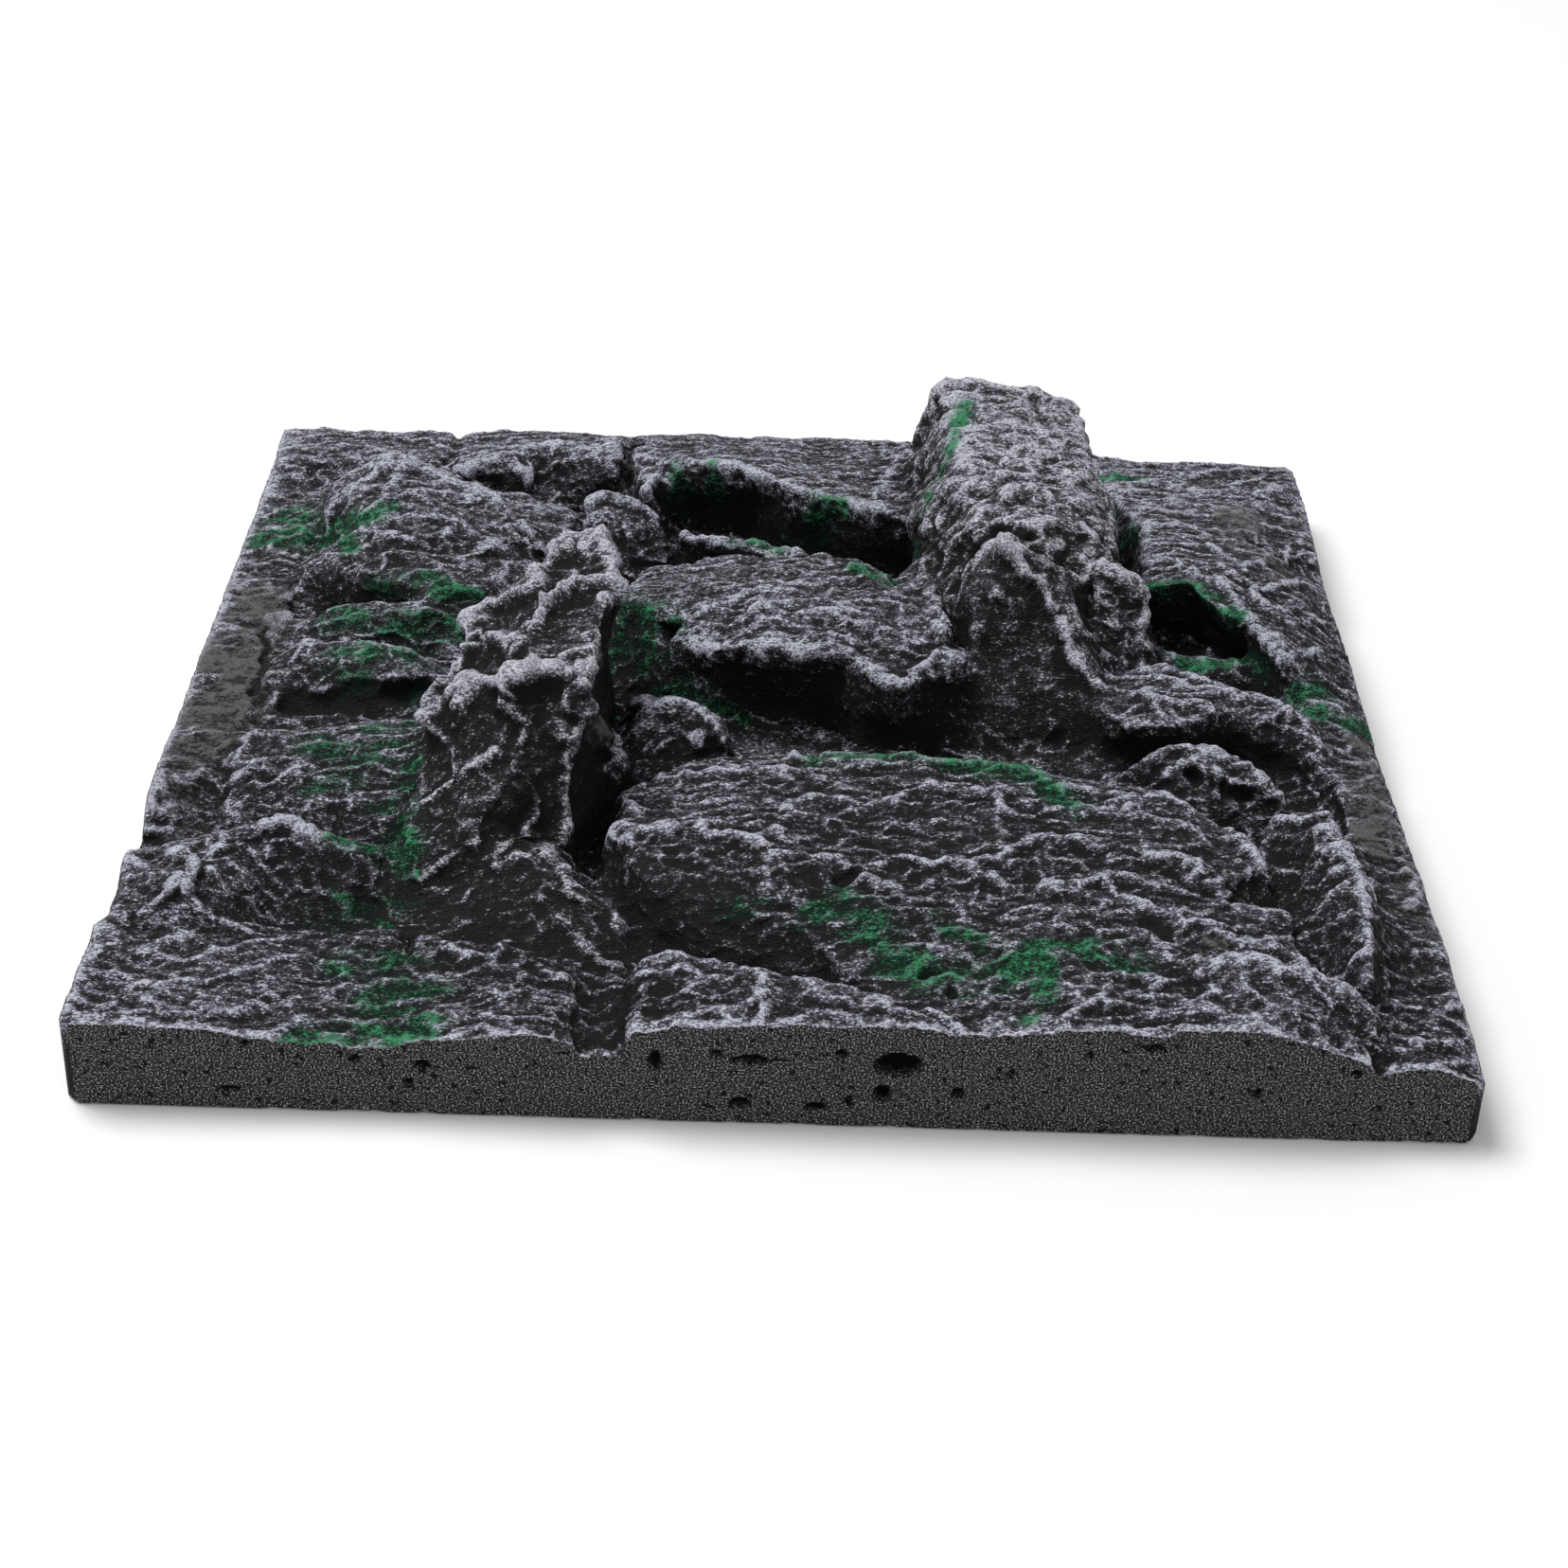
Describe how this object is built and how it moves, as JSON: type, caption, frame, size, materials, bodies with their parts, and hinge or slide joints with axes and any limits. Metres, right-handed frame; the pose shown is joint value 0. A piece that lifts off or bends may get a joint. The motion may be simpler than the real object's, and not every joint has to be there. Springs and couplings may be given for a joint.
{
  "type": "terrarium rock background panel",
  "caption": "Square foam rock-relief background panel with two climbing ledges, hollows and mossy crevices, for a terrarium or aquarium.",
  "frame": {"origin": "centre of the flat back face, which the panel lies on", "axes": "+Z out of the rock relief, +Y up the panel when it is hung in a tank, +X to the right as the relief is looked at"},
  "size_m": [0.3, 0.3, 0.058],
  "materials": {
    "cut_foam": "cut open-cell face of rigid charcoal foam, matte",
    "rock_skin": "near-black moulded skin, dry-brushed lavender grey on the crests and moss green in places, matte",
    "ledge_skin": "near-black moulded skin in rounded scalloped layers, dry-brushed lavender grey, matte"
  },
  "bodies": {
    "root": {"backing_panel": "cut_foam", "front_left_bed": "rock_skin", "front_bed": "rock_skin", "front_boulder": "rock_skin", "plateau_front": "rock_skin", "front_right_boulder": "rock_skin", "left_peak": "rock_skin", "left_crest": "rock_skin", "left_lower_terrace": "rock_skin", "left_middle_terrace": "rock_skin", "left_upper_terrace": "rock_skin", "left_edge_strip": "rock_skin", "crag_step": "rock_skin", "crag": "rock_skin", "crag_shoulder": "rock_skin", "back_left_corner": "rock_skin", "arched_rib": "rock_skin", "back_left_wall": "rock_skin", "back_block": "rock_skin", "back_terrace": "rock_skin", "back_right_slope": "rock_skin", "saddle": "rock_skin", "centre_terrace": "rock_skin", "hollow_ridge": "rock_skin", "dome": "rock_skin", "plateau": "rock_skin", "right_ridge": "rock_skin", "right_edge_strip": "rock_skin", "middle_boulder": "rock_skin", "shelf": "rock_skin", "hollow_step": "rock_skin", "right_slope": "rock_skin", "right_plateau": "rock_skin", "lower_ledge": "ledge_skin", "lower_ledge_front": "ledge_skin", "lower_buttress": "ledge_skin", "upper_ledge": "ledge_skin", "upper_ledge_toe": "ledge_skin", "upper_ledge_lobe": "ledge_skin"}
  },
  "joints": []
}
